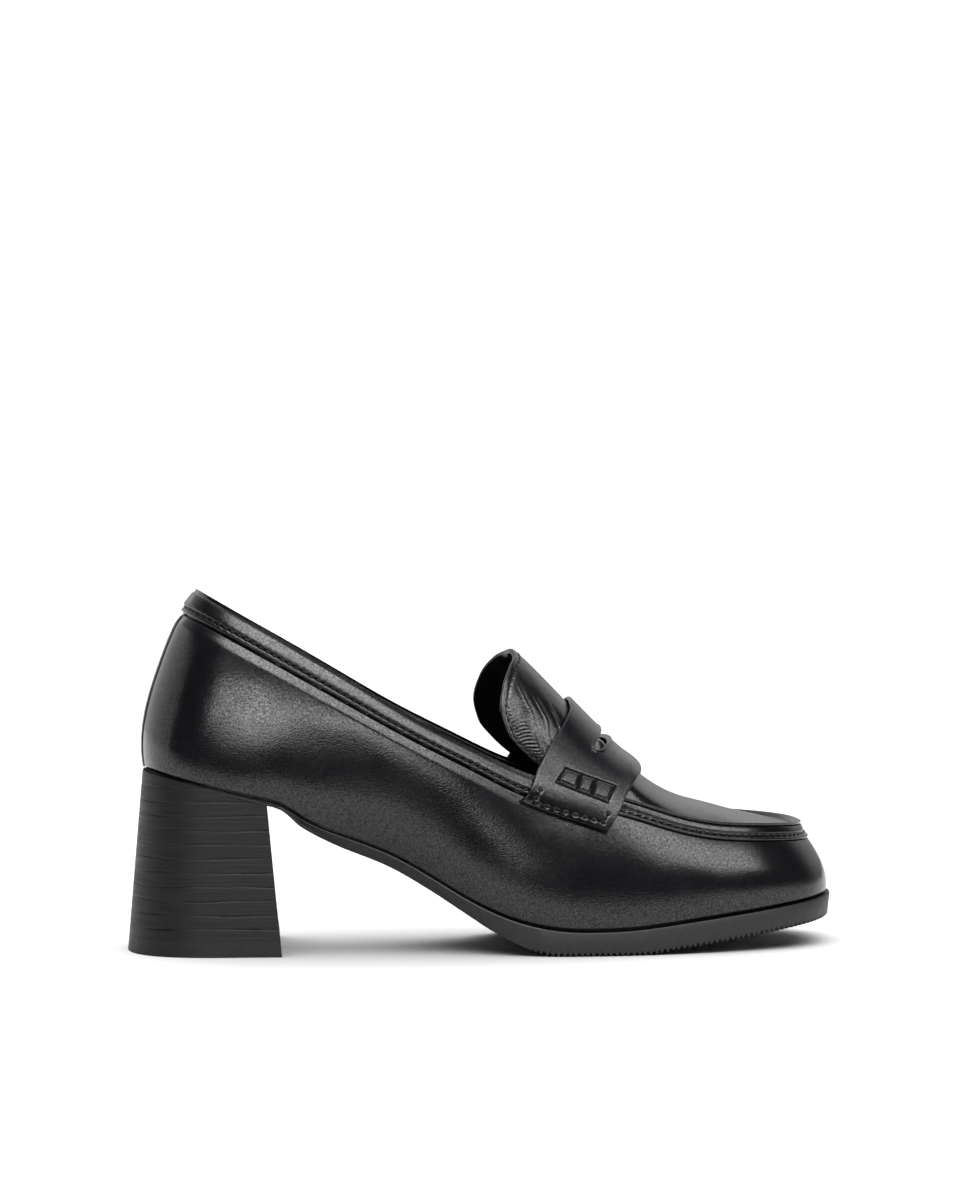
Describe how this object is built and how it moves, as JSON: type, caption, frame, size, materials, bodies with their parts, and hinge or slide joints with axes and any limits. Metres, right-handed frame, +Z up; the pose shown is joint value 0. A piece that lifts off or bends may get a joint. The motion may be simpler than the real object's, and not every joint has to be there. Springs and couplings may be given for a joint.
{
  "type": "heeled penny loafer",
  "caption": "Black leather slip-on loafer for the right foot with a slotted strap over the instep, a standing tongue, a raised plug seam and a stacked block heel.",
  "frame": {"origin": "middle of the footprint's box, on the floor that heel and forefoot stand on", "axes": "+X from the heel to the toe, +Y to the inner side of the foot, +Z up"},
  "size_m": [0.2426, 0.0823, 0.1218],
  "materials": {
    "upper_leather": "smooth black leather, semi-gloss",
    "insole_lining": "matte black lining leather",
    "sole_rubber": "matte black rubber",
    "heel_stack": "charcoal stacked lifts, satin",
    "top_piece": "matte black rubber"
  },
  "bodies": {
    "root": {"upper": "upper_leather", "collar_band": "upper_leather", "back_stay": "upper_leather", "tongue": "upper_leather", "saddle_strap": "upper_leather", "insole": "insole_lining", "outsole": "sole_rubber", "heel_stack": "heel_stack", "heel_top_piece": "top_piece"}
  },
  "joints": []
}
